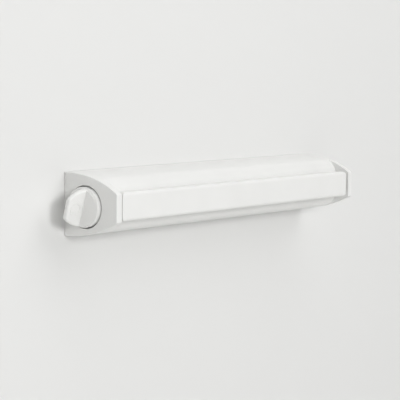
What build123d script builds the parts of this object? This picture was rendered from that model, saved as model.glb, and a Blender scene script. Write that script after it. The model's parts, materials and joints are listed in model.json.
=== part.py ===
from build123d import *
import os
from math import acos, asin, atan2, cos, hypot, pi, radians, sin, sqrt

# Wall-mounted retractable clothesline: five lines on sprung spools, pulled out by one bar.
# Frame: origin at the centre of the wall screw pattern on the back plane, +X along the
# housing, +Y into the wall, +Z up. Millimetres.

# Housing
LENGTH = 430.0          # over the flat faces of both end caps
TOP_Z = 32.8            # top at the wall
BOTTOM_Z = -32.2        # underside at the wall
DEPTH = 69.3            # wall to the front edge of the end caps
TOP_R = (170.0, 105.0)  # radii of the crowned top: at the wall, where it is level, and in front
TOP_BEND_Y = -27.0      # where the one passes into the other
BOTTOM_R = 148.0        # radius of the crowned underside, level at the wall
CAP_T = 7.7             # end cap thickness
CAP_CORNER_R = 3.0      # corners of the cap's front edge
CAP_BACK_R = 1.2        # corners of the cap at the wall
CAP_EDGE_R = 0.8        # rounding around the cap's outer face
CAP_SKIN = 2.5          # what is left of the cap behind its outer face
COLLAR = 8.0            # cap collar between the cap plate and the shell
COLLAR_WALL = 4.0
TONGUE = 4.0            # how far the collar's tongue reaches into the shell
WALL = 2.2              # shell thickness
NOSE_DEPTH = 52.0       # wall to the flat nose of the shell
NOSE_R = 19.5           # nose rounding, tangent to the crowns
SEAM = 0.15             # gap where fixed mouldings meet
CLEAR = 0.3             # gap between pieces that must not rub
SLIDE = 0.1             # gap around a hexagon that slides on its shaft
PAST = 1.0              # how far a cutter runs past the surface it opens

# Wall plate
PLATE_T = 3.0
PLATE_HALF_H = 27.5
PLATE_END = 0.8         # from the plate's ends to the cap plates
RAIL_H = 5.0            # stiffening rails along the plate's top and bottom
POCKET_D = 1.0          # pockets in the back of the plate, in two rows between ribs
POCKET_BAYS = 6
POCKET_PITCH = 45.0
RIB_T = 3.0
SCREW_SPACING_X = 300.0
SCREW_SPACING_Z = 40.0
WALL_HOLE_R = 2.6
WALL_SINK_R = 4.2       # countersink for the wall screw heads
CAP_SCREW_Z = 21.0
CAP_SCREW_R = 1.5
CAP_SCREW_HEAD_R = 2.9
CAP_SCREW_HEAD_T = 1.6
CAP_SCREW_L = 13.0      # in the boss
CAP_SCREW_SHORT = 1.0   # the screw ends this far before the bottom of its hole
BOSS_R = 3.4
BOSS_WEB_T = 2.0
SLOT_W = 0.8            # screwdriver slots
SLOT_D = 0.8

# Spool axis, shared by the knob
AXIS_Y = -27.7
AXIS_Z = -1.4

# Lines and spools
LINES = 5
LINE_PITCH = 70.0       # spacing of the five lines
LINE_R = 1.2
LINE_LENGTH = 4400.0    # how far each line pays out
SPOOL_HUB_R = 9.0
SPOOL_FLANGE_R = 18.3
SPOOL_FLANGE_T = 2.0
SPOOL_WIDTH = 50.0      # between the flanges
WINDING_LAYERS = 3
WINDING_GAP = 0.2       # to each flange
EXIT_Z = 7.0            # height of the line exits
BEND_IN = 5.7           # where a line bends, behind the front of the nose
BEND_R = 4.0
EYELET_R = 3.1
EYELET_BORE_R = 1.7
EYELET_FLANGE_R = 4.2
EYELET_RIM_R = 0.8
EYELET_FLANGE_T = 1.0
EYELET_INNER = 1.6      # how far the eyelet stands inside the shell

# Spool shaft and bearings
SHAFT_HEX_R = 4.6       # across the corners, half
HEX_SIDES = 6
JOURNAL_R = 4.0
RUN = 0.05              # radial running clearance
JOURNAL_END = 7.0       # right end of the shaft beyond the middle of its bracket
BRACKET_X = 187.5       # middle of each bearing bracket
BRACKET_T = 3.0
BRACKET_FOOT = 11.0
BRACKET_EDGE = 1.0      # from the bracket's edge to the shell
BRACKET_SCREW_Z = 15.0
BRACKET_SCREW_R = 1.5
BRACKET_SCREW_HEAD_R = 2.8
BRACKET_SCREW_HEAD_T = 1.8
BRACKET_SCREW_L = 1.85  # in the plate and foot, below the head
BUSH_R = 6.5
BUSH_FLANGE_R = 8.5
BUSH_FLANGE_T = 1.2
SPACER_R = 7.0
CLIP_R = 6.0
CLIP_T = 1.0

# Return spring
CASE_X = 172.0          # inner end of the spring case
CASE_R = 18.0
CASE_WALL = 1.2
CASE_HOLE = 1.0         # gap around the shaft and the arbor
LID_LIP = 1.5
EAR_PITCH_R = 20.4
EAR_ANGLE = 55.0        # degrees above and below the way to the wall
EAR_R = 2.8
EAR_T = 3.0
SMALL_SCREW_R = 1.0
SMALL_HEAD_R = 2.0
SMALL_HEAD_T = 1.2
HEX_SHORT = 2.0         # the hexagon ends this far before the spring case
ARBOR_R = 6.4
ARBOR_GAP = 0.5         # between the arbor and the lid's plane
SPRING_IN = 2.0         # from the lid's plane to the spring
SPRING_T = 0.5
SPRING_STEP = 1.15      # radial growth per turn
SPRING_TURNS = 8
SPRING_W = 8.0

# Knob
KNOB_HOLE_R = 21.9
KNOB_R = 20.5
KNOB_PROUD = 4.3        # rim of the knob above the cap face
KNOB_RIM_R = 1.6
KNOB_BACK = 6.8         # back of the knob disc behind the cap face
KNOB_CREASE = 6.9       # foot of the blade above the cap face
KNOB_TIP = 28.6         # tip of the blade above the cap face
KNOB_TILT = 15.0        # degrees the blade leans forward from vertical at rest
BLADE_FOOT = 3.0        # half thickness of the blade at its foot
BLADE_TIP = 2.3         # half thickness at its tip
BLADE_FOOT_W = 19.6     # half width of the blade at its foot
BLADE_MID_W = 16.6      # and at BLADE_MID_H above the cap face
BLADE_MID_H = 17.5
BLADE_TIP_W = 10.2      # and where its sides would meet its tip
BLADE_TIP_R = 5.2       # corners of the blade's tip
BLADE_EDGE_R = 2.0      # its sides and tip are almost fully round
ROOF_OVERLAP = 1.0      # the sloped face starts this far inside the disc
HUB_R = 9.0
HUB_RUN = 0.08
WEB_T = 2.0             # web of the left cap that carries the knob hub
WEB_OVERLAP = 0.5       # the web's edge runs this far into the collar

# Ratchet and clutch
RATCHET_T = 4.0
RATCHET_R = 15.5
RATCHET_ROOT_R = 13.7
RATCHET_TEETH = 24
TOOTH_FLANK = 0.1       # share of a tooth's pitch taken by its steep flank
CLUTCH_T = 2.4
CLUTCH_R = 12.5
CLUTCH_BORE_R = 7.8
CLUTCH_DOGS = 6
DOG_H = 1.2
DOG_W = 2.4
DOG_INSET = 0.5         # from each rim of the ring
DOG_GAP = 0.6
FINGER_POST = (17.5, 11.7)   # above and in front of the axis
FINGER_T = 2.2
FINGER_R = 2.8
FINGER_INSET = 0.5      # behind the inner face of the ratchet wheel
FINGER_TIP = ((14.2, 0.75), (15.7, 0.6), (17.2, 4.5))
FINGER_BACK = (15.95, 4.5)
FINGER_LEAF = 1.1       # half width of the leaf at its post
POST_R = 2.6
POST_SCREW_L = 6.0
KNOB_SCREWS = 3
KNOB_SCREW_PITCH_R = 5.0
KNOB_SCREW_R = 1.25
KNOB_SCREW_L = 7.0
KNOB_SCREW_HEAD_R = 2.2
KNOB_SCREW_HEAD_T = 1.6

# Pull bar
BAR_GAP = 2.9           # to each end cap
BAR_LENGTH = LENGTH - 2 * (CAP_T + BAR_GAP)
BAR_H = 29.3
BAR_T = 11.6
BAR_Z = 0.25            # middle of the bar
BAR_RECESS = 0.9        # front of the bar behind the caps' front edges
BAR_CORNER_R = 5.0      # its four corners seen from the front
BAR_EDGE_R = 3.6        # rounding along its front's top and bottom
BAR_END_R = 0.8         # rounding across the ends of its front
BAR_WALL = 2.0
BAR_BACK_T = 2.0
BAR_SCREW_X = (-180.0, -105.0, 105.0, 180.0)
BAR_SCREW_R = 1.2
BAR_SCREW_HEAD_R = 2.4
BAR_SCREW_HEAD_T = 1.0
BAR_SCREW_L = 8.5
BAR_BOSS_R = 3.0
BAR_SLOT_W = 0.6
BAR_SLOT_D = 0.5
HOOK_X = 120.0          # hook slots in the back of the bar
HOOK_W = 18.0
HOOK_H = 6.5
HOOK_Z = -5.0
HOOK_R = 1.5
LINE_HOLE_GAP = 0.2     # around a line in the bar's back cover
FERRULE_R = 2.3
FERRULE_L = 4.0

CAP_X = LENGTH / 2
PLATE_HALF_L = CAP_X - CAP_T - PLATE_END
SHELL_X = CAP_X - CAP_T - COLLAR
CAP_SCREW_X = CAP_X - CAP_T - COLLAR / 2
CASE_BACK_X = BRACKET_X - BRACKET_T / 2 - SEAM
BAR_FRONT = -(DEPTH - BAR_RECESS)
BAR_BACK = BAR_FRONT + BAR_T
SPOOL_XS = [LINE_PITCH * (i - (LINES - 1) / 2) for i in range(LINES)]
OUT = (-1, 0, 0)        # the way the knob faces
FROM_BASE = (Align.CENTER, Align.CENTER, Align.MIN)
MM_PER_M = 1000


def tube(x0, x1, r, bore=0.0, y=AXIS_Y, z=AXIS_Z):
    """A cylinder or tube along X from x0 to x1."""
    plane = Plane(origin=(x0, y, z), x_dir=(0, 1, 0), z_dir=(1, 0, 0))
    ring = Circle(r) - Circle(bore) if bore else Circle(r)
    return extrude(plane * ring, amount=x1 - x0)


def rod(x, z, y0, y1, r, bore=0.0):
    """A cylinder or tube along Y from y0 to y1."""
    plane = Plane(origin=(x, y0, z), x_dir=(1, 0, 0), z_dir=(0, 1, 0))
    ring = Circle(r) - Circle(bore) if bore else Circle(r)
    return extrude(plane * ring, amount=y1 - y0)


def block(x0, x1, y0, y1, z0, z1):
    """A box between two corners."""
    middle = Pos((x0 + x1) / 2, (y0 + y1) / 2, (z0 + z1) / 2)
    return middle * Box(abs(x1 - x0), abs(y1 - y0), abs(z1 - z0))


def along_x(face, x0, x1):
    """Extrudes a YZ outline from x0 to x1."""
    return extrude(Plane.YZ.offset(x0) * face, amount=x1 - x0)


def one(shape):
    """The single solid of a shape."""
    solids = shape.solids()
    assert len(solids) == 1, len(solids)
    return solids[0]


def group(shapes):
    """Separate solids kept together as one piece."""
    return Compound(children=[one(s) for s in shapes])


def top_arcs(inset=0.0):
    """Centres (y, z) and radii of the two arcs of the crowned top, moved inwards by inset."""
    back, front = TOP_R
    centre = (0.0, TOP_Z - back)
    lean = asin(-TOP_BEND_Y / back)
    step = back - front
    second = (centre[0] - step * sin(lean), centre[1] + step * cos(lean))
    return (centre, back - inset), (second, front - inset)


def bottom_arc(inset=0.0):
    """Centre and radius of the crowned underside."""
    return (0.0, BOTTOM_Z + BOTTOM_R), BOTTOM_R - inset


def on_arc(arc, angle, up=1):
    """A point of an arc at an angle forward from straight up, or from straight down."""
    (y, z), r = arc
    return y - r * sin(angle), z + up * r * cos(angle)


def arc_angle_at(arc, y):
    """The angle at which an arc reaches y."""
    centre, r = arc
    return asin((centre[0] - y) / r)


def crown_edges(inset, back_y, top_end, bottom_end):
    """The arcs of the top and of the underside, from back_y to their end angles."""
    first, second = top_arcs(inset)
    under = bottom_arc(inset)
    lean = asin(-TOP_BEND_Y / TOP_R[0])
    start, low_start = arc_angle_at(first, back_y), arc_angle_at(under, back_y)
    top = [on_arc(first, a) for a in (start, (start + lean) / 2, lean)]
    top += [on_arc(second, a) for a in ((lean + top_end) / 2, top_end)]
    low = [on_arc(under, a, -1) for a in (low_start, (low_start + bottom_end) / 2, bottom_end)]
    edges = [
        ThreePointArc(top[0], top[1], top[2]),
        ThreePointArc(top[2], top[3], top[4]),
        ThreePointArc(low[0], low[1], low[2]),
        Line(low[0], top[0]),
    ]
    return edges, top[4], low[2]


def cap_outline():
    """Side view of an end cap: crowned top and underside, rounded front corners."""
    top_end = arc_angle_at(top_arcs()[1], -DEPTH)
    edges, top, low = crown_edges(0.0, 0.0, top_end, arc_angle_at(bottom_arc(), -DEPTH))
    face = make_face(edges + [Line(top, low)])
    face = fillet(face.vertices().sort_by(Axis.X)[:2], CAP_CORNER_R)
    return fillet(face.vertices().sort_by(Axis.X)[-2:], CAP_BACK_R)


def nose_join(arc):
    """The angle at which the nose rounding leaves a crown arc, and its centre's height."""
    y, r = arc[0][0], arc[1]
    nose_y = NOSE_R - NOSE_DEPTH
    join = asin((y - nose_y) / (r - NOSE_R))
    return join, (r - NOSE_R) * cos(join)


def shell_outline(inset=0.0):
    """Side view of the shell, moved inwards by inset: crowns, rounded nose, flat front."""
    front_arc, under = top_arcs()[1], bottom_arc()
    top_join, top_reach = nose_join(front_arc)
    low_join, low_reach = nose_join(under)
    edges, top, low = crown_edges(inset, 0.0, top_join, low_join)
    nose_y, nose = NOSE_R - NOSE_DEPTH, NOSE_R - inset
    top_centre = ((nose_y, front_arc[0][1] + top_reach), nose)
    low_centre = ((nose_y, under[0][1] - low_reach), nose)
    nose_top, nose_low = on_arc(top_centre, pi / 2), on_arc(low_centre, pi / 2, -1)
    edges.append(ThreePointArc(top, on_arc(top_centre, (top_join + pi / 2) / 2), nose_top))
    edges.append(ThreePointArc(low, on_arc(low_centre, (low_join + pi / 2) / 2, -1), nose_low))
    return make_face(edges + [Line(nose_top, nose_low)])


def end_cap(side):
    """An end cap: plate, hollow behind its face, collar and tongue. side is -1 or 1."""
    face_x, inner_x = side * CAP_X, side * (CAP_X - CAP_T)
    shell_x = side * SHELL_X
    plate = along_x(cap_outline(), inner_x, face_x)
    plate = fillet(plate.faces().sort_by(Axis.X)[-1 if side > 0 else 0].edges(), CAP_EDGE_R)
    hollow = shell_outline(COLLAR_WALL)
    ring = shell_outline() - hollow
    tongue = shell_outline(WALL + SEAM) - hollow
    cap = plate - along_x(hollow, side * (CAP_X - CAP_SKIN), inner_x)
    cap += along_x(ring, inner_x, shell_x)
    cap += along_x(tongue, shell_x, shell_x - side * TONGUE)
    boss_x, web_x = side * CAP_SCREW_X, side * (CAP_X - CAP_SKIN)
    y0, y1 = -PLATE_T - SEAM - CAP_SCREW_L, -PLATE_T - SEAM
    for z in (-CAP_SCREW_Z, CAP_SCREW_Z):
        cap += rod(boss_x, z, y0, y1, BOSS_R)
        cap += block(boss_x, web_x, y0, y1, z - BOSS_WEB_T / 2, z + BOSS_WEB_T / 2)
    return cap_screw_holes(cap, side)


def cap_screw_holes(cap, side):
    """Bores the two screw bosses of a cap."""
    for z in (-CAP_SCREW_Z, CAP_SCREW_Z):
        cap -= rod(side * CAP_SCREW_X, z, -PLATE_T - CAP_SCREW_L, 0, CAP_SCREW_R)
    return cap


def left_end_cap():
    """The left cap also holds the knob: a round recess and the web its hub turns in."""
    inner_x = -(CAP_X - CAP_T)
    cap = end_cap(-1)
    web = along_x(shell_outline(COLLAR_WALL - WEB_OVERLAP), inner_x, inner_x + WEB_T)
    web -= block(inner_x, inner_x + WEB_T, -PLATE_T - CLEAR, PAST, BOTTOM_Z, TOP_Z)
    cap += web
    cap -= tube(-CAP_X - PAST, inner_x, KNOB_HOLE_R)
    cap -= tube(inner_x - PAST, inner_x + WEB_T + PAST, HUB_R + HUB_RUN)
    return cap_screw_holes(cap, -1)


def housing_shell():
    """The crowned cover between the caps, open at the wall, pierced for five eyelets."""
    shell = along_x(shell_outline() - shell_outline(WALL), -SHELL_X + SEAM, SHELL_X - SEAM)
    for x in SPOOL_XS:
        shell -= rod(x, EXIT_Z, -NOSE_DEPTH - PAST, -NOSE_DEPTH + WALL + PAST, EYELET_R)
    return shell


def plate_pockets():
    """Shallow pockets in the back of the wall plate; the ribs between them touch the wall."""
    half = (POCKET_PITCH - RIB_T) / 2
    low, high = RIB_T / 2, PLATE_HALF_H - RIB_T
    pockets = []
    for i in range(POCKET_BAYS):
        x = POCKET_PITCH * (i - (POCKET_BAYS - 1) / 2)
        for z0, z1 in ((low, high), (-high, -low)):
            pockets.append(block(x - half, x + half, -POCKET_D, 0, z0, z1))
    return pockets


def wall_plate():
    """The plate that screws to the wall: countersunk holes, rails in front, pockets behind."""
    plate = block(-PLATE_HALF_L, PLATE_HALF_L, -PLATE_T, 0, -PLATE_HALF_H, PLATE_HALF_H)
    rail_x = SHELL_X - TONGUE - PAST
    for z in (-PLATE_HALF_H, PLATE_HALF_H - WALL):
        plate += block(-rail_x, rail_x, -PLATE_T - RAIL_H, -PLATE_T, z, z + WALL)
    for x in (-SCREW_SPACING_X / 2, SCREW_SPACING_X / 2):
        for z in (-SCREW_SPACING_Z / 2, SCREW_SPACING_Z / 2):
            plate -= rod(x, z, -PLATE_T, 0, WALL_HOLE_R)
            sink = WALL_SINK_R - WALL_HOLE_R
            plane = Plane(origin=(x, -PLATE_T, z), x_dir=(1, 0, 0), z_dir=(0, 1, 0))
            plate -= plane * Cone(WALL_SINK_R, WALL_HOLE_R, sink, align=FROM_BASE)
    for x in (-CAP_SCREW_X, CAP_SCREW_X):
        for z in (-CAP_SCREW_Z, CAP_SCREW_Z):
            plate -= rod(x, z, -PLATE_T, 0, CAP_SCREW_R)
            plate -= rod(x, z, -CAP_SCREW_HEAD_T - SEAM, 0, CAP_SCREW_HEAD_R + SEAM)
    for pocket in plate_pockets():
        plate -= pocket
    return plate


def cap_screws():
    """Four screws from behind the wall plate into the caps."""
    screws = []
    for x in (-CAP_SCREW_X, CAP_SCREW_X):
        for z in (-CAP_SCREW_Z, CAP_SCREW_Z):
            head = rod(x, z, -CAP_SCREW_HEAD_T - SEAM, -SEAM, CAP_SCREW_HEAD_R)
            tip = -PLATE_T - CAP_SCREW_L + CAP_SCREW_SHORT
            shank = rod(x, z, tip, -SEAM, CAP_SCREW_R)
            half_w, half_l = SLOT_W / 2, CAP_SCREW_HEAD_R - SLOT_W
            slot = block(x - half_l, x + half_l, -SEAM - SLOT_D, 0, z - half_w, z + half_w)
            screws.append(head + shank - slot)
    return group(screws)


def bracket(side):
    """A bearing bracket: an upright plate with a bush bore and a foot on the wall plate."""
    x = side * BRACKET_X
    x0, x1 = x - BRACKET_T / 2, x + BRACKET_T / 2
    upright = along_x(shell_outline(WALL + BRACKET_EDGE), x0, x1)
    upright -= block(x0, x1, -PLATE_T - SEAM, PAST, BOTTOM_Z, TOP_Z)
    rail_z = PLATE_HALF_H - WALL - CLEAR
    for z, outer in ((-rail_z, BOTTOM_Z), (rail_z, TOP_Z)):
        upright -= block(x0, x1, -PLATE_T - RAIL_H - CLEAR, PAST, min(z, outer), max(z, outer))
    foot_front = -PLATE_T - BRACKET_T
    foot = block(x, x - side * BRACKET_FOOT, foot_front, -PLATE_T - SEAM, -rail_z, rail_z)
    shape = upright + foot - tube(x0, x1, BUSH_R)
    for z in (-BRACKET_SCREW_Z, BRACKET_SCREW_Z):
        shape -= rod(bracket_screw_x(side), z, foot_front, 0, BRACKET_SCREW_R)
    return shape


def bracket_screw_x(side):
    """The middle of what is left of the foot beside the upright."""
    return side * (BRACKET_X - (BRACKET_FOOT + BRACKET_T / 2) / 2)


def finger_place():
    up, forward = FINGER_POST
    return {"y": AXIS_Y - forward, "z": AXIS_Z + up}


def left_bracket():
    """The left bracket also has the post that carries the ratchet finger."""
    x0, x1 = finger_x()[1], -BRACKET_X - BRACKET_T / 2
    return bracket(-1) + tube(x0, x1, POST_R, SMALL_SCREW_R, **finger_place())


def bracket_screws():
    """Screws through the bracket feet into the wall plate."""
    screws = []
    seat = -PLATE_T - BRACKET_T
    top = seat - BRACKET_SCREW_HEAD_T
    half_w, half_l = SLOT_W / 2, BRACKET_SCREW_HEAD_R - SLOT_W
    for side in (-1, 1):
        for z in (-BRACKET_SCREW_Z, BRACKET_SCREW_Z):
            x = bracket_screw_x(side)
            head = rod(x, z, top, seat, BRACKET_SCREW_HEAD_R)
            shank = rod(x, z, seat - SLOT_D, seat + BRACKET_SCREW_L + PAST, BRACKET_SCREW_R)
            slot = block(x - half_w, x + half_w, top, top + SLOT_D, z - half_l, z + half_l)
            screws.append(head + shank - slot)
    return group(screws)


def bush(side):
    """A flanged plain bush in a bracket, with the shaft running in it."""
    x0, x1 = side * (BRACKET_X - BRACKET_T / 2), side * (BRACKET_X + BRACKET_T / 2)
    flange_x = x1 + side * BUSH_FLANGE_T
    sleeve = tube(min(x0, x1), max(x0, x1), BUSH_R, JOURNAL_R + RUN)
    flange = tube(min(x1, flange_x), max(x1, flange_x), BUSH_FLANGE_R, JOURNAL_R + RUN)
    return sleeve + flange


def spool(x):
    """One line spool: a hub with two flanges and a hexagonal bore."""
    half = SPOOL_WIDTH / 2
    shape = tube(x - half, x + half, SPOOL_HUB_R)
    for side in (-1, 1):
        a, b = sorted((x + side * half, x + side * (half + SPOOL_FLANGE_T)))
        shape += tube(a, b, SPOOL_FLANGE_R)
    end = half + SPOOL_FLANGE_T
    plane = Plane(origin=(x - end, AXIS_Y, AXIS_Z), x_dir=(0, 1, 0), z_dir=(1, 0, 0))
    return shape - extrude(plane * RegularPolygon(SHAFT_HEX_R + SLIDE, HEX_SIDES), amount=2 * end)


def winding_turns():
    """Turns in each layer of a full spool, innermost first."""
    per_layer = int(SPOOL_WIDTH / (2 * LINE_R))
    left, turns = LINE_LENGTH, []
    for layer in range(WINDING_LAYERS):
        around = 2 * pi * layer_radius(layer)
        fits = min(per_layer, left / around)
        left -= fits * around
        turns.append(fits)
    return turns


def layer_radius(layer):
    """Radius of a layer's centreline: layers nest in the grooves of the one below."""
    return SPOOL_HUB_R + LINE_R + layer * LINE_R * sqrt(3)


def winding(x):
    """The line wound on a spool, as one sleeve of its outer size."""
    outer = layer_radius(WINDING_LAYERS - 1) + LINE_R
    half = SPOOL_WIDTH / 2 - WINDING_GAP
    return tube(x - half, x + half, outer, SPOOL_HUB_R + RUN)


def line_tangent():
    """Where the line leaves the top of a full spool on its way to the eyelet."""
    r = layer_radius(WINDING_LAYERS - 1) + 2 * LINE_R + SEAM
    dy, dz = -(NOSE_DEPTH - BEND_IN) - AXIS_Y, EXIT_Z - AXIS_Z
    angle = atan2(dz, dy) - acos(r / hypot(dy, dz))
    return AXIS_Y + r * cos(angle), AXIS_Z + r * sin(angle)


def line_span(x):
    """The stretch of line from the spool through its eyelet into the bar."""
    y0, z0 = line_tangent()
    bend = (x, -(NOSE_DEPTH - BEND_IN), EXIT_Z)
    end = (x, BAR_BACK - BAR_BACK_T - FERRULE_L, EXIT_Z)
    path = FilletPolyline((x, y0, z0), bend, end, radius=BEND_R)
    start = Plane(origin=path @ 0, z_dir=path % 0)
    return sweep(start * Circle(LINE_R), path=path)


def eyelet(x):
    """A flanged guide for one line, pressed into the nose of the shell."""
    y0, y1 = -NOSE_DEPTH - EYELET_FLANGE_T, -NOSE_DEPTH + WALL + EYELET_INNER
    shape = rod(x, EXIT_Z, -NOSE_DEPTH, y1, EYELET_R)
    shape += rod(x, EXIT_Z, y0, -NOSE_DEPTH, EYELET_FLANGE_R)
    shape -= rod(x, EXIT_Z, y0 - PAST, y1 + PAST, EYELET_BORE_R)
    rims = [e for e in shape.edges().filter_by(GeomType.CIRCLE) if e.radius < EYELET_BORE_R + RUN]
    return fillet(rims, EYELET_RIM_R)


def spool_shaft():
    """A hexagonal shaft with a round journal at each end."""
    hex_x = CASE_X - HEX_SHORT
    plane = Plane(origin=(-hex_x, AXIS_Y, AXIS_Z), x_dir=(0, 1, 0), z_dir=(1, 0, 0))
    shaft = extrude(plane * RegularPolygon(SHAFT_HEX_R, HEX_SIDES), amount=2 * hex_x)
    shaft += tube(clutch_disc_x()[0], -hex_x, JOURNAL_R)
    shaft += tube(hex_x, BRACKET_X + JOURNAL_END, JOURNAL_R)
    return shaft


def spool_spacers():
    """Sleeves on the shaft between the spools."""
    gap, bore = SPOOL_WIDTH / 2 + SPOOL_FLANGE_T + SEAM, SHAFT_HEX_R + SLIDE
    pairs = zip(SPOOL_XS, SPOOL_XS[1:])
    return group([tube(a + gap, b - gap, SPACER_R, bore) for a, b in pairs])


def shaft_clips():
    """Spring clips that keep the spools together on the shaft."""
    x = SPOOL_XS[-1] + SPOOL_WIDTH / 2 + SPOOL_FLANGE_T + SEAM
    return group([tube(a, a + CLIP_T, CLIP_R, SHAFT_HEX_R) for a in (-x - CLIP_T, x)])


def spring_case():
    """The cup that holds the return spring, on the right bracket."""
    x1 = CASE_BACK_X
    room = CASE_R - CASE_WALL
    cup = tube(CASE_X, x1, CASE_R) - tube(CASE_X, x1 - CASE_WALL, room)
    for y, z in case_screw_places():
        ear = tube(x1 - EAR_T, x1, EAR_R, y=y, z=z)
        cup += ear - tube(x1 - EAR_T, x1 - CASE_WALL, room)
        cup -= tube(x1 - EAR_T, x1, SMALL_SCREW_R, y=y, z=z)
    return cup - tube(x1 - CASE_WALL, x1, JOURNAL_R + CASE_HOLE)


def case_screw_places():
    """The two ears of the spring case, towards the wall."""
    angles = (radians(EAR_ANGLE), radians(-EAR_ANGLE))
    return [(AXIS_Y + EAR_PITCH_R * cos(a), AXIS_Z + EAR_PITCH_R * sin(a)) for a in angles]


def spring_case_lid():
    """The lid over the open side of the spring case."""
    x1 = CASE_X - SEAM
    disc = tube(x1 - CASE_WALL, x1, CASE_R, ARBOR_R + CASE_HOLE)
    lip = tube(x1, CASE_X + LID_LIP, CASE_R - CASE_WALL - SEAM, CASE_R - 2 * CASE_WALL)
    return disc + lip


def spring_case_screws():
    """Screws through the ears of the spring case into the bracket."""
    x0 = CASE_BACK_X - EAR_T
    screws = []
    for y, z in case_screw_places():
        head = tube(x0 - SMALL_HEAD_T, x0, SMALL_HEAD_R, y=y, z=z)
        screws.append(head + tube(x0, CASE_BACK_X, SMALL_SCREW_R, y=y, z=z))
    return group(screws)


def spring_arbor():
    """The sleeve that ties the spring's inner end to the shaft."""
    x0, x1 = CASE_X + ARBOR_GAP, CASE_X + SPRING_IN + SPRING_W
    return tube(x0, x1, ARBOR_R, JOURNAL_R + RUN)


def spiral_spring():
    """The flat return spring, as half turns that grow by half a step each."""
    x0 = CASE_X + SPRING_IN
    plane = Plane(origin=(x0, AXIS_Y, AXIS_Z), x_dir=(0, 1, 0), z_dir=(1, 0, 0))
    shape = None
    r = ARBOR_R + SPRING_T
    for i in range(2 * SPRING_TURNS):
        shift = SPRING_STEP / 2 if i % 2 else 0.0
        side = -1 if i % 2 else 1
        ring = Circle(r + SPRING_T / 2) - Circle(r - SPRING_T / 2)
        window = Pos(0, side * CASE_R) * Rectangle(3 * CASE_R, 2 * CASE_R)
        half = extrude(plane * (Pos(shift, 0) * (ring & window)), amount=SPRING_W)
        shape = half if shape is None else shape + half
        r += SPRING_STEP / 2
    return shape


def knob_plane():
    """A plane on the cap face at the knob: x across the blade, y along it, z outwards."""
    tilt = radians(KNOB_TILT)
    x_dir = (0, -cos(tilt), -sin(tilt))
    return Plane(origin=(-CAP_X, AXIS_Y, AXIS_Z), x_dir=x_dir, z_dir=OUT)


def knob_disc():
    """The knob's disc, its face rising like a shallow roof to the foot of the blade."""
    disc = Pos(0, 0, -KNOB_BACK) * Cylinder(KNOB_R, KNOB_BACK + KNOB_PROUD, align=FROM_BASE)
    disc = fillet(disc.faces().sort_by(Axis.Z)[-1].edges(), KNOB_RIM_R)
    rim, low = KNOB_R - KNOB_RIM_R, KNOB_PROUD - ROOF_OVERLAP
    roof = make_face(Polyline(
        (-rim, low), (rim, low), (rim, KNOB_PROUD),
        (BLADE_FOOT, KNOB_CREASE), (-BLADE_FOOT, KNOB_CREASE), (-rim, KNOB_PROUD), close=True,
    ))
    roof = extrude(Plane.XZ.offset(-KNOB_R) * roof, amount=2 * KNOB_R)
    return disc + (roof & Cylinder(rim, 2 * KNOB_TIP))


def knob_blade():
    """The blade grip: tapered in thickness, narrower towards its round-cornered tip."""
    slope = (BLADE_FOOT - BLADE_TIP) / (KNOB_TIP - KNOB_CREASE)
    base = BLADE_FOOT + slope * (KNOB_CREASE - KNOB_PROUD)
    section = make_face(Polyline(
        (-base, KNOB_PROUD), (base, KNOB_PROUD), (BLADE_TIP, KNOB_TIP), (-BLADE_TIP, KNOB_TIP), close=True,
    ))
    blade = extrude(Plane.XZ.offset(-KNOB_R) * section, amount=2 * KNOB_R)
    foot, waist, tip = (BLADE_FOOT_W, KNOB_PROUD), (BLADE_MID_W, BLADE_MID_H), (BLADE_TIP_W, KNOB_TIP)
    left = [(-u, v) for u, v in (foot, waist, tip)]
    side = make_face([
        ThreePointArc(foot, waist, tip),
        Line(tip, left[2]),
        ThreePointArc(left[2], left[1], left[0]),
        Line(left[0], foot),
    ])
    side = fillet(side.vertices().group_by(Axis.Y)[-1], BLADE_TIP_R)
    blade &= extrude(Plane.YZ.offset(-KNOB_R) * side, amount=2 * KNOB_R)
    middle = BLADE_TIP / 4
    rims = [e for e in blade.edges() if e.center().Z > KNOB_CREASE and abs(e.center().X) > middle]
    return fillet(rims, BLADE_EDGE_R)


def knob():
    """The knob: disc and blade in one moulding, and the hub that turns in the cap's web."""
    hub_back = CAP_T + WEB_T + SEAM
    hub = Pos(0, 0, -hub_back) * Cylinder(HUB_R, hub_back - KNOB_BACK, align=FROM_BASE)
    shape = knob_plane() * (knob_disc() + knob_blade() + hub)
    for y, z in knob_screw_places():
        shape -= tube(ratchet_x()[0] - KNOB_SCREW_L, ratchet_x()[0], KNOB_SCREW_R, y=y, z=z)
    return shape


def ratchet_x():
    """Where the ratchet wheel lies along X, just inside the web of the left cap."""
    x0 = -(CAP_X - CAP_T) + WEB_T + SEAM
    return x0, x0 + RATCHET_T


def finger_x():
    """Where the ratchet finger lies along X."""
    x1 = ratchet_x()[1] - FINGER_INSET
    return x1 - FINGER_T, x1


def ratchet_plane(x):
    """A plane across the spool axis: x upwards, y towards the front."""
    return Plane(origin=(x, AXIS_Y, AXIS_Z), x_dir=(0, 0, 1), z_dir=(1, 0, 0))


def clutch_ring_x():
    """The ring lies against the ratchet wheel."""
    x0 = ratchet_x()[1]
    return x0, x0 + CLUTCH_T


def clutch_disc_x():
    """The disc on the shaft faces the ring on the knob across the dogs and a small gap."""
    x0 = clutch_ring_x()[1] + 2 * DOG_H + DOG_GAP
    return x0, x0 + CLUTCH_T


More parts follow.
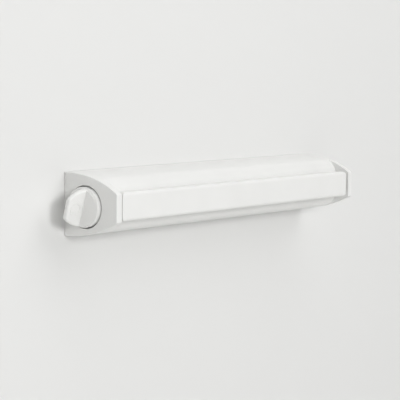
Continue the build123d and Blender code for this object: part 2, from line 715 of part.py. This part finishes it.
def ratchet_wheel():
    """A saw-toothed wheel screwed to the knob hub."""
    points = []
    for i in range(RATCHET_TEETH):
        tip = 2 * pi * i / RATCHET_TEETH
        root = 2 * pi * (i + TOOTH_FLANK) / RATCHET_TEETH
        points.append((RATCHET_R * cos(tip), RATCHET_R * sin(tip)))
        points.append((RATCHET_ROOT_R * cos(root), RATCHET_ROOT_R * sin(root)))
    x0, x1 = ratchet_x()
    outline = make_face(Polyline(*points, close=True))
    wheel = extrude(ratchet_plane(x0) * outline, amount=x1 - x0)
    for y, z in knob_screw_places():
        wheel -= tube(x0, x1, KNOB_SCREW_R, y=y, z=z)
    return wheel


def ratchet_finger():
    """A springy finger whose tip stands in a gap of the ratchet wheel."""
    up, forward = FINGER_POST
    foot = forward - SMALL_SCREW_R
    leaf = Polyline(*FINGER_TIP, (up + FINGER_LEAF, foot), (up - FINGER_LEAF, foot), FINGER_BACK, close=True)
    outline = make_face(leaf) + Pos(up, forward) * Circle(FINGER_R)
    x0, x1 = finger_x()
    finger = extrude(ratchet_plane(x0) * outline, amount=x1 - x0)
    return finger - tube(x0, x1, SMALL_SCREW_R, **finger_place())


def ratchet_finger_screw():
    """The screw that holds the finger on its post."""
    x0, x1 = finger_x()
    head = tube(x0 - SMALL_HEAD_T, x0, SMALL_HEAD_R, **finger_place())
    return head + tube(x0, x1 + POST_SCREW_L, SMALL_SCREW_R, **finger_place())


def with_dogs(shape, x0, x1):
    """Adds a ring of clutch dogs between x0 and x1."""
    middle = (CLUTCH_R + CLUTCH_BORE_R) / 2
    width = CLUTCH_R - CLUTCH_BORE_R - 2 * DOG_INSET
    for i in range(CLUTCH_DOGS):
        dog = Pos((x0 + x1) / 2, middle, 0) * Box(x1 - x0, width, DOG_W)
        shape += Pos(0, AXIS_Y, AXIS_Z) * (Rot(360 * i / CLUTCH_DOGS, 0, 0) * dog)
    return shape


def clutch_ring():
    """The clutch half that turns with the knob, its dogs towards the spools."""
    x0, x1 = clutch_ring_x()
    return with_dogs(tube(x0, x1, CLUTCH_R, CLUTCH_BORE_R), x1, x1 + DOG_H)


def clutch_disc():
    """The clutch half on the spool shaft, its dogs towards the knob."""
    x0, x1 = clutch_disc_x()
    return with_dogs(tube(x0, x1, CLUTCH_R, JOURNAL_R + RUN), x0 - DOG_H, x0)


def knob_screw_places():
    """Three screws around the knob's axis."""
    r, step = KNOB_SCREW_PITCH_R, 2 * pi / KNOB_SCREWS
    angles = [step * i for i in range(KNOB_SCREWS)]
    return [(AXIS_Y + r * cos(a), AXIS_Z + r * sin(a)) for a in angles]


def knob_screws():
    """Three screws through the ratchet wheel into the knob hub."""
    x0, x1 = ratchet_x()
    return group([
        tube(x0 - KNOB_SCREW_L, x1, KNOB_SCREW_R, y=y, z=z)
        + tube(x1, x1 + KNOB_SCREW_HEAD_T, KNOB_SCREW_HEAD_R, y=y, z=z)
        for y, z in knob_screw_places()
    ])


def bar_plane():
    """A plane on the bar's back: x along the bar, y upwards, z forwards."""
    return Plane(origin=(0, BAR_BACK, BAR_Z), x_dir=(1, 0, 0), z_dir=(0, -1, 0))


def bar_outline(inset):
    """Front view of the bar, moved inwards by inset."""
    return RectangleRounded(BAR_LENGTH - 2 * inset, BAR_H - 2 * inset, BAR_CORNER_R - inset)


def bar_block(inset, depth):
    """The bar's block, moved inwards by inset: its front rounded along top and bottom."""
    block_shape = extrude(bar_plane() * bar_outline(inset), amount=depth)
    back, front = BAR_BACK, BAR_BACK - depth
    side = Pos((back + front) / 2, BAR_Z) * Rectangle(depth, BAR_H - 2 * inset)
    side = fillet(side.vertices().sort_by(Axis.X)[:2], BAR_EDGE_R - inset)
    return block_shape & along_x(side, -BAR_LENGTH / 2, BAR_LENGTH / 2)


def pull_bar_front():
    """The bar's front moulding: a shallow tray with its rounded face outwards."""
    plan = Pos(0, (BAR_FRONT + BAR_BACK) / 2) * Rectangle(BAR_LENGTH, BAR_T)
    plan = fillet(plan.vertices().sort_by(Axis.Y)[:2], BAR_END_R)
    bar = bar_block(0, BAR_T) & extrude(Plane.XY.offset(-BAR_H) * plan, amount=2 * BAR_H)
    bar -= bar_block(BAR_WALL, BAR_T - BAR_WALL)
    for x in BAR_SCREW_X:
        seat = BAR_BACK - BAR_BACK_T
        bar += rod(x, BAR_Z, BAR_FRONT + BAR_WALL / 2, seat, BAR_BOSS_R, BAR_SCREW_R)
    return bar


def pull_bar_back():
    """The bar's back cover, with a hole for each line and two hook slots."""
    plate = extrude(bar_plane() * bar_outline(BAR_WALL + SEAM), amount=BAR_BACK_T)
    y0, y1 = BAR_BACK - BAR_BACK_T, BAR_BACK
    for x in SPOOL_XS:
        plate -= rod(x, EXIT_Z, y0, y1, LINE_R + LINE_HOLE_GAP)
    for x in BAR_SCREW_X:
        plate -= rod(x, BAR_Z, y0, y1, BAR_SCREW_R)
    for side in (-1, 1):
        slot = Pos(side * HOOK_X, HOOK_Z - BAR_Z) * RectangleRounded(HOOK_W, HOOK_H, HOOK_R)
        plate -= extrude(bar_plane() * slot, amount=BAR_BACK_T)
    return plate


def pull_bar_screws():
    """Four screws that hold the bar's two mouldings together."""
    screws = []
    top = BAR_BACK + BAR_SCREW_HEAD_T
    half_w, half_l = BAR_SLOT_W / 2, BAR_SCREW_HEAD_R - BAR_SLOT_W
    for x in BAR_SCREW_X:
        head = rod(x, BAR_Z, BAR_BACK, top, BAR_SCREW_HEAD_R)
        shank = rod(x, BAR_Z, BAR_BACK - BAR_SCREW_L, BAR_BACK, BAR_SCREW_R)
        z0, z1 = BAR_Z - half_w, BAR_Z + half_w
        slot = block(x - half_l, x + half_l, top - BAR_SLOT_D, top, z0, z1)
        screws.append(head + shank - slot)
    return group(screws)


def line_ferrules():
    """A crimp on the end of each line, behind the bar's back cover."""
    y1 = BAR_BACK - BAR_BACK_T
    return group([rod(x, EXIT_Z, y1 - FERRULE_L, y1, FERRULE_R, LINE_R) for x in SPOOL_XS])


def save(name, shape):
    export_step(shape, f"parts/{name}.step")


def main():
    os.makedirs("parts", exist_ok=True)
    singles = {
        "left_end_cap": left_end_cap(),
        "right_end_cap": end_cap(1),
        "housing_shell": housing_shell(),
        "wall_plate": wall_plate(),
        "left_bearing_bracket": left_bracket(),
        "right_bearing_bracket": bracket(1),
        "left_bush": bush(-1),
        "right_bush": bush(1),
        "ratchet_finger": ratchet_finger(),
        "ratchet_finger_screw": ratchet_finger_screw(),
        "spring_case": spring_case(),
        "spring_case_lid": spring_case_lid(),
        "spiral_spring": spiral_spring(),
        "spring_arbor": spring_arbor(),
        "spool_shaft": spool_shaft(),
        "clutch_disc": clutch_disc(),
        "knob": knob(),
        "ratchet_wheel": ratchet_wheel(),
        "clutch_ring": clutch_ring(),
        "pull_bar_front": pull_bar_front(),
        "pull_bar_back": pull_bar_back(),
    }
    for i, x in enumerate(SPOOL_XS, start=1):
        singles[f"line_eyelet_{i}"] = eyelet(x)
        singles[f"line_spool_{i}"] = spool(x)
        singles[f"line_winding_{i}"] = winding(x)
        singles[f"line_span_{i}"] = line_span(x)
    groups = {
        "cap_screws": cap_screws(),
        "bracket_screws": bracket_screws(),
        "spring_case_screws": spring_case_screws(),
        "spool_spacers": spool_spacers(),
        "shaft_clips": shaft_clips(),
        "knob_screws": knob_screws(),
        "pull_bar_screws": pull_bar_screws(),
        "line_ferrules": line_ferrules(),
    }
    for name, shape in singles.items():
        save(name, one(shape))
    for name, shape in groups.items():
        save(name, shape)
    turns = winding_turns()
    per_metre = 2 * pi * sum(turns) / (LINE_LENGTH / MM_PER_M)
    print(f"turns per layer {turns}, {sum(turns):.3f} in all, {per_metre:.4f} rad per metre")


if __name__ == "__main__":
    main()
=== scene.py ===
import json
import math

import bmesh
import bpy
from mathutils import Matrix, Vector


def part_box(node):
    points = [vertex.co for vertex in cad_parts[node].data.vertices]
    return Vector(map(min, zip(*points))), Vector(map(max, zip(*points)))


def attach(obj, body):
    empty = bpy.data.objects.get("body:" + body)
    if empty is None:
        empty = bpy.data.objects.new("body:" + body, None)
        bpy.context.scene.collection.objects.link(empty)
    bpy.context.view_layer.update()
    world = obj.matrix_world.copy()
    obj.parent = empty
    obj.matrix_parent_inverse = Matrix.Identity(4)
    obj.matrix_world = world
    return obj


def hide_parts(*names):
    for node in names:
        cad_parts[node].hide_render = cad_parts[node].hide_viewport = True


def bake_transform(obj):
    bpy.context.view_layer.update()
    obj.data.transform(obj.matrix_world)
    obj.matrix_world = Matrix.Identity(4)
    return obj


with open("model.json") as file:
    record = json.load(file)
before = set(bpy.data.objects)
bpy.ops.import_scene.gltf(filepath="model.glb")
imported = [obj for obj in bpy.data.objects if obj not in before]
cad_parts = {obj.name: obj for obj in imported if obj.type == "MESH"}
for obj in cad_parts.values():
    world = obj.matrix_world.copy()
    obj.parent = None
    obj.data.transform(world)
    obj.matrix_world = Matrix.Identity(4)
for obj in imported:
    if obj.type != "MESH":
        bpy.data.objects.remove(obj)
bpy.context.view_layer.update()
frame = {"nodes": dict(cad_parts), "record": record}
nodes = frame["nodes"]


# ---------------------------------------------------------------- camera
CAMERA_AT = Vector((-1.4256, -1.1048, 0.1499))
YAW, PITCH, ROLL = math.radians(52.40), math.radians(5.06), math.radians(0.46)
LENS, SENSOR = 146.25, 36
CLIP = (0.01, 100)


def make_camera():
    """The main camera: yaw from +Y towards +X, pitch downwards, a slight roll."""
    flat = math.cos(PITCH)
    forward = Vector((math.sin(YAW) * flat, math.cos(YAW) * flat, -math.sin(PITCH)))
    level = Vector((math.cos(YAW), -math.sin(YAW), 0))
    upright = level.cross(forward)
    right = level * math.cos(ROLL) + upright * math.sin(ROLL)
    up = upright * math.cos(ROLL) - level * math.sin(ROLL)
    data = bpy.data.cameras.new("camera")
    data.lens, data.sensor_width = LENS, SENSOR
    data.clip_start, data.clip_end = CLIP
    camera = bpy.data.objects.new("camera", data)
    turned = Matrix((right, up, -forward)).transposed().to_4x4()
    camera.matrix_world = Matrix.Translation(CAMERA_AT) @ turned
    bpy.context.scene.collection.objects.link(camera)
    bpy.context.scene.camera = camera


# ---------------------------------------------------------------- materials
def new_material(name):
    """A node material with its Principled shader and a helper that adds nodes."""
    mat = bpy.data.materials.new(name)
    mat.use_nodes = True
    tree = mat.node_tree
    shader = tree.nodes["Principled BSDF"]

    def add(kind, **inputs):
        node = tree.nodes.new(kind)
        for key, value in inputs.items():
            node.inputs[key.replace("_", " ")].default_value = value
        return node

    return mat, tree, shader, add


RAMP_STOPS = (0.3, 0.7)


def ramp(tree, add, source, low, high):
    """A colour ramp between two colours on a noise's factor."""
    node = add("ShaderNodeValToRGB")
    node.color_ramp.elements[0].position, node.color_ramp.elements[1].position = RAMP_STOPS
    node.color_ramp.elements[0].color = (*low, 1)
    node.color_ramp.elements[1].color = (*high, 1)
    tree.links.new(source, node.inputs["Fac"])
    return node.outputs["Color"]


def moulded(name, colour, spread, rough, grain, depth):
    """Moulded plastic: slight colour drift, uneven gloss and a fine eroded grain."""
    mat, tree, shader, add = new_material(name)
    place = add("ShaderNodeTexCoord").outputs["Object"]
    drift = add("ShaderNodeTexNoise", Scale=22.0, Detail=3.0, Roughness=0.5)
    gloss = add("ShaderNodeTexNoise", Scale=90.0, Detail=4.0, Roughness=0.6)
    bumps = add("ShaderNodeTexNoise", Scale=grain, Detail=2.0, Roughness=0.55)
    for node in (drift, gloss, bumps):
        tree.links.new(place, node.inputs["Vector"])
    low = [c * (1 - spread) for c in colour]
    tree.links.new(ramp(tree, add, drift.outputs["Fac"], low, colour), shader.inputs["Base Color"])
    to_rough = add("ShaderNodeMapRange", To_Min=rough[0], To_Max=rough[1])
    tree.links.new(gloss.outputs["Fac"], to_rough.inputs["Value"])
    tree.links.new(to_rough.outputs["Result"], shader.inputs["Roughness"])
    bump = add("ShaderNodeBump", Strength=0.35, Distance=depth)
    tree.links.new(bumps.outputs["Fac"], bump.inputs["Height"])
    tree.links.new(bump.outputs["Normal"], shader.inputs["Normal"])
    return mat


def metal(name, colour, rough, streak):
    """Drawn or turned metal: fine streaks along X in its tone and gloss."""
    mat, tree, shader, add = new_material(name)
    place = add("ShaderNodeTexCoord").outputs["Object"]
    scaled = add("ShaderNodeMapping", Scale=(60.0, streak, streak))
    tree.links.new(place, scaled.inputs["Vector"])
    lines = add("ShaderNodeTexNoise", Scale=1.0, Detail=5.0, Roughness=0.6)
    tree.links.new(scaled.outputs["Vector"], lines.inputs["Vector"])
    low = [c * 0.8 for c in colour]
    tree.links.new(ramp(tree, add, lines.outputs["Fac"], low, colour), shader.inputs["Base Color"])
    to_rough = add("ShaderNodeMapRange", To_Min=rough[0], To_Max=rough[1])
    tree.links.new(lines.outputs["Fac"], to_rough.inputs["Value"])
    tree.links.new(to_rough.outputs["Result"], shader.inputs["Roughness"])
    shader.inputs["Metallic"].default_value = 1.0
    return mat


WHITE = moulded("white_plastic", (0.80, 0.80, 0.785), 0.03, (0.30, 0.42), 2600.0, 0.00003)
GREY = moulded("grey_plastic", (0.26, 0.28, 0.29), 0.10, (0.42, 0.55), 2200.0, 0.00004)
ACETAL = moulded("acetal", (0.63, 0.62, 0.56), 0.06, (0.36, 0.48), 1800.0, 0.00003)
STEEL = metal("steel", (0.55, 0.56, 0.57), (0.28, 0.42), 2400.0)
ALUMINIUM = metal("crimp_metal", (0.72, 0.73, 0.74), (0.22, 0.36), 2400.0)
LINE = moulded("line_jacket", (0.78, 0.78, 0.74), 0.05, (0.40, 0.52), 3000.0, 0.00002)

BY_SLOT = {
    "white_plastic": WHITE,
    "grey_plastic": GREY,
    "bearing_plastic": ACETAL,
    "steel": STEEL,
    "line": LINE,
    "ferrule": ALUMINIUM,
}


def paint_nodes():
    """Every CAD node takes the finish of its own material slot."""
    for node in nodes.values():
        for place in node.material_slots:
            place.material = BY_SLOT[place.material.name.split(".")[0]]


# ---------------------------------------------------------------- stage
def plane(name, corners, material):
    """A flat stage piece."""
    mesh = bpy.data.meshes.new(name)
    mesh.from_pydata(corners, [], [(0, 1, 2, 3)])
    obj = bpy.data.objects.new(name, mesh)
    mesh.materials.append(material)
    bpy.context.scene.collection.objects.link(obj)
    return obj


def stage_paint(name, tone):
    """A plain matt paint."""
    mat = new_material(name)[0]
    shader = mat.node_tree.nodes["Principled BSDF"]
    shader.inputs["Base Color"].default_value = (*tone, 1)
    shader.inputs["Roughness"].default_value = 0.9
    return mat


SEE_THROUGH = 0.0025     # rays that start this near the wall pass it, so the object's back is lit
WALL_Y = 0.0006          # just behind the wall plate
WALL_HALF_W, WALL_TOP = 4.0, 3.0
FLOOR_Z, FLOOR_FRONT, FLOOR_BACK = -0.95, -7, 6


def make_stage():
    """A pale wall just behind the wall plate and a pale floor below."""
    wall_paint = stage_paint("wall_paint", (0.74, 0.74, 0.73))
    tree = wall_paint.node_tree
    shader, out = tree.nodes["Principled BSDF"], tree.nodes["Material Output"]
    sides = tree.nodes.new("ShaderNodeNewGeometry")
    clear = tree.nodes.new("ShaderNodeBsdfTransparent")
    mix = tree.nodes.new("ShaderNodeMixShader")
    path = tree.nodes.new("ShaderNodeLightPath")
    near = tree.nodes.new("ShaderNodeMath")
    near.operation = "LESS_THAN"
    near.inputs[1].default_value = SEE_THROUGH
    tree.links.new(path.outputs["Ray Length"], near.inputs[0])
    either = tree.nodes.new("ShaderNodeMath")
    either.operation = "MAXIMUM"
    tree.links.new(sides.outputs["Backfacing"], either.inputs[0])
    tree.links.new(near.outputs["Value"], either.inputs[1])
    tree.links.new(either.outputs["Value"], mix.inputs["Fac"])
    tree.links.new(shader.outputs["BSDF"], mix.inputs[1])
    tree.links.new(clear.outputs["BSDF"], mix.inputs[2])
    tree.links.new(mix.outputs["Shader"], out.inputs["Surface"])
    y, w, low, high = WALL_Y, WALL_HALF_W, FLOOR_Z, WALL_TOP
    wall = plane("wall", [(-w, y, low), (w, y, low), (w, y, high), (-w, y, high)], wall_paint)
    wall.visible_shadow = False
    floor_paint = stage_paint("floor_paint", (0.78, 0.78, 0.77))
    front, back = FLOOR_FRONT, FLOOR_BACK
    plane("floor", [(-w, front, low), (w, front, low), (w, back, low), (-w, back, low)], floor_paint)


LAMP_DISTANCE = 3.2      # from the object to the middle of each lamp
WORLD_LIGHT = 0.2


def lamp(name, turn, rise, size, power):
    """A square soft lamp: turn degrees to the left of straight in front, rise degrees up."""
    turn, rise = math.radians(turn), math.radians(rise)
    flat = math.cos(rise)
    way = Vector((-math.sin(turn) * flat, -math.cos(turn) * flat, math.sin(rise)))
    data = bpy.data.lights.new(name, "AREA")
    data.shape, data.size, data.size_y = "RECTANGLE", size, size
    data.energy = power
    light = bpy.data.objects.new(name, data)
    light.location = way * LAMP_DISTANCE
    light.rotation_mode = "QUATERNION"
    light.rotation_quaternion = (-light.location).to_track_quat("-Z", "Y")
    bpy.context.scene.collection.objects.link(light)


def make_lights():
    """Soft light from the front left and above, with a weaker lamp behind the wall."""
    world = bpy.data.worlds.new("studio")
    world.use_nodes = True
    back = world.node_tree.nodes["Background"]
    back.inputs["Color"].default_value = (1, 1, 1, 1)
    back.inputs["Strength"].default_value = WORLD_LIGHT
    bpy.context.scene.world = world
    lamp("key", 20, 12, 0.8, 39)
    lamp("side", 35, 12, 0.8, 7)
    lamp("fill", -25, 35, 2.2, 37)
    lamp("overhead", 10, 75, 2.2, 22)
    lamp("back", 180, 0, 2.2, 30)


# ---------------------------------------------------------------- lines
LINE_R = 0.0012
LINES = 5
SPOOL_HUB_R = 0.009
LAYER_RISE = LINE_R * math.sqrt(3)
LAYER_TURNS = (20, 20, 17.46)
TURN_STEPS = 36
CROSSING = 0.35         # turn over which a line climbs to the next layer
TAIL_TURNS = 0.6        # last part of a turn, from the top layer to the line's exit
LIFT_SHARE = 0.4        # share of it over which the line rises off the top layer
EXIT_GAP = 0.00015      # between the top layer and the line that leaves it
BEND_IN, BEND_R = 0.0057, 0.004   # where the line bends behind the nose, and how tightly
WOUND_SIDES, DRAWN_SIDES = 8, 16
RUN_STEPS = 6           # along the stretch that lengthens as the bar is pulled
JOINTS = {joint["name"]: joint for joint in frame["record"]["behaviour"]["joints"]}
AXIS = Vector(JOINTS["spool_spin"]["pos_m"])


def add_mesh(name, verts, faces, material, body, smooth=True):
    """A new visible piece from vertices and faces, riding on a body."""
    mesh = bpy.data.meshes.new(name)
    mesh.from_pydata([tuple(v) for v in verts], [], faces)
    mesh.materials.append(material)
    mesh.polygons.foreach_set("use_smooth", [smooth] * len(mesh.polygons))
    mesh.update()
    obj = bpy.data.objects.new(name, mesh)
    bpy.context.scene.collection.objects.link(obj)
    if body:
        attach(obj, body)
    return obj


def tube_mesh(path, radius, sides):
    """Vertices and faces of a closed round tube that follows path without twisting."""
    verts, faces = [], []
    across = (path[1] - path[0]).orthogonal().normalized()
    for i, point in enumerate(path):
        ahead, behind = path[min(i + 1, len(path) - 1)], path[max(i - 1, 0)]
        along = (ahead - behind).normalized()
        across = (across - along * across.dot(along)).normalized()
        other = along.cross(across)
        for k in range(sides):
            turn = 2 * math.pi * k / sides
            verts.append(point + radius * (math.cos(turn) * across + math.sin(turn) * other))
    for i in range(len(path) - 1):
        a, b = i * sides, (i + 1) * sides
        faces += [(a + k, a + (k + 1) % sides, b + (k + 1) % sides, b + k) for k in range(sides)]
    last = (len(path) - 1) * sides
    faces.append(tuple(range(sides))[::-1])
    faces.append(tuple(range(last, last + sides)))
    return verts, faces


def ease(t):
    """From 0 to 1 with a soft start and end."""
    t = min(max(t, 0), 1)
    return t * t * (3 - 2 * t)


def winding_path(middle_x, half_width, exit_angle, exit_r):
    """The line on one spool, layer over layer, ending where it leaves for its eyelet."""
    steps, turns = [], sum(LAYER_TURNS) + TAIL_TURNS
    for i in range(int(turns * TURN_STEPS) + 1):
        done, rest, layer = i / TURN_STEPS, i / TURN_STEPS, 0
        while layer < len(LAYER_TURNS) - 1 and rest > LAYER_TURNS[layer]:
            rest -= LAYER_TURNS[layer]
            layer += 1
        share = min(rest, LAYER_TURNS[layer]) / LAYER_TURNS[0]
        x = half_width * (2 * share - 1) * (-1 if layer % 2 else 1)
        climbed = layer - 1 + ease(rest / CROSSING) if layer else 0
        radius = SPOOL_HUB_R + LINE_R + LAYER_RISE * climbed
        over = rest - LAYER_TURNS[layer] if layer == len(LAYER_TURNS) - 1 else 0
        tail, lift = ease(over / TAIL_TURNS), ease(over / (LIFT_SHARE * TAIL_TURNS))
        steps.append((done, x * (1 - tail), radius + (exit_r - radius) * lift))
    path = []
    for done, x, radius in steps:
        angle = exit_angle + 2 * math.pi * (done - turns)
        around = Vector((0, radius * math.cos(angle), radius * math.sin(angle)))
        path.append(Vector((middle_x + x, AXIS.y, AXIS.z)) + around)
    return path


BEND_STEPS = 8


def rounded_bend(before, corner, after, radius):
    """Points around a corner, on an arc tangent to both of its runs."""
    a, b = (before - corner).normalized(), (after - corner).normalized()
    half = a.angle(b) / 2
    reach = radius / math.tan(half)
    centre = corner + (a + b).normalized() * (radius / math.sin(half))
    first, last = corner + a * reach - centre, corner + b * reach - centre
    full = first.angle(last)
    points = []
    for i in range(BEND_STEPS + 1):
        t = i / BEND_STEPS
        mixed = first * math.sin((1 - t) * full) + last * math.sin(t * full)
        points.append(centre + mixed / math.sin(full))
    return points


def make_lines():
    """The wound lines and the stretches of line from the spools to the pull bar."""
    nose_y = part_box("line_eyelet_1")[0][1]
    shell_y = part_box("housing_shell")[0][1]
    bar_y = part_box("pull_bar_back")[1][1]
    end_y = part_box("line_ferrules")[0][1]
    for i in range(1, LINES + 1):
        low, high = (Vector(corner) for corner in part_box(f"line_eyelet_{i}"))
        x, z = (low.x + high.x) / 2, (low.z + high.z) / 2
        first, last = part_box(f"line_winding_{i}")
        half = (last[0] - first[0]) / 2 - LINE_R
        exit_r = SPOOL_HUB_R + LINE_R + 2 * LAYER_RISE + 2 * LINE_R + EXIT_GAP
        corner = Vector((x, shell_y + BEND_IN, z))
        dy, dz = corner.y - AXIS.y, corner.z - AXIS.z
        angle = math.atan2(dz, dy) - math.acos(exit_r / math.hypot(dy, dz))
        start = Vector((x, AXIS.y + exit_r * math.cos(angle), AXIS.z + exit_r * math.sin(angle)))
        turns = tube_mesh(winding_path(x, half, angle, exit_r), LINE_R, WOUND_SIDES)
        wound = add_mesh(f"wound_line_{i}", *turns, LINE, "spools")
        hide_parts(f"line_winding_{i}")
        ahead = Vector((x, end_y, z))
        path = [start] + rounded_bend(start, corner, ahead, BEND_R)
        step = (bar_y - nose_y) / RUN_STEPS
        path += [Vector((x, nose_y + step * k, z)) for k in range(RUN_STEPS + 1)] + [ahead]
        span = add_mesh(f"drawn_line_{i}", *tube_mesh(path, LINE_R, DRAWN_SIDES), LINE, None)
        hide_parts(f"line_span_{i}")
        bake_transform(span)


# ---------------------------------------------------------------- knob
KNOB_TILT = math.radians(15)
BLADE_FOOT, BLADE_FOOT_H = 0.0030, 0.0069
BLADE_TIP, BLADE_TIP_H = 0.0023, 0.0286
ARROW_H = 0.0172        # middle of the arrows above the cap face
ARROW_R, ARROW_W = 0.0062, 0.0011
ARROW_HEAD, ARROW_HEAD_W = 0.55, 0.0034   # radians, metres
ARROW_RELIEF, ARROW_SUNK = 0.00028, 0.0002
ARROW_START, ARROW_STOP = 0.35, 0.25      # radians between one arrow and the other
ARROW_STEPS = 14


def arrow_outline(first, last):
    """Outline of a curved arrow around the middle, its head at the end."""
    neck = last - ARROW_HEAD
    outer, inner = ARROW_R + ARROW_W / 2, ARROW_R - ARROW_W / 2
    turns = [first + (neck - first) * k / ARROW_STEPS for k in range(ARROW_STEPS + 1)]
    points = [(outer * math.cos(t), outer * math.sin(t)) for t in turns]
    wide = ARROW_HEAD_W / 2
    for r, t in ((ARROW_R + wide, neck), (ARROW_R, last), (ARROW_R - wide, neck)):
        points.append((r * math.cos(t), r * math.sin(t)))
    return points + [(inner * math.cos(t), inner * math.sin(t)) for t in reversed(turns)]


def make_knob_arrows():
    """Two curved turn arrows, raised a little on each side of the knob's blade."""
    axis = Vector(JOINTS["knob_turn"]["pos_m"])
    front = Vector((0, -math.cos(KNOB_TILT), -math.sin(KNOB_TILT)))
    along = Vector((0, -math.sin(KNOB_TILT), math.cos(KNOB_TILT)))
    out = Vector((-1, 0, 0))
    for side, label in ((1, "front"), (-1, "back")):
        drop = BLADE_FOOT - BLADE_TIP
        rise = (out * (BLADE_TIP_H - BLADE_FOOT_H) - side * front * drop).normalized()
        normal = (side * front * (BLADE_TIP_H - BLADE_FOOT_H) + out * drop).normalized()
        thick = BLADE_FOOT - drop * (ARROW_H - BLADE_FOOT_H) / (BLADE_TIP_H - BLADE_FOOT_H)
        middle = axis + out * ARROW_H + side * front * thick
        for number, turn in ((1, 0.0), (2, math.pi)):
            outline = arrow_outline(turn + ARROW_START, turn + math.pi - ARROW_STOP)
            flat = [middle + u * along * side + v * rise for u, v in outline]
            count = len(flat)
            verts = [p - normal * ARROW_SUNK for p in flat] + [p + normal * ARROW_RELIEF for p in flat]
            faces = [tuple(range(count))[::-1], tuple(range(count, 2 * count))]
            faces += [(k, (k + 1) % count, count + (k + 1) % count, count + k) for k in range(count)]
            arrow = add_mesh(f"knob_arrow_{label}_{number}", verts, faces, WHITE, "knob", smooth=False)
            bm = bmesh.new()
            bm.from_mesh(arrow.data)
            bmesh.ops.recalc_face_normals(bm, faces=bm.faces)
            bm.to_mesh(arrow.data)
            bm.free()


paint_nodes()
make_lines()
make_knob_arrows()
make_stage()
make_lights()
make_camera()
bpy.context.scene.view_settings.view_transform = "Standard"
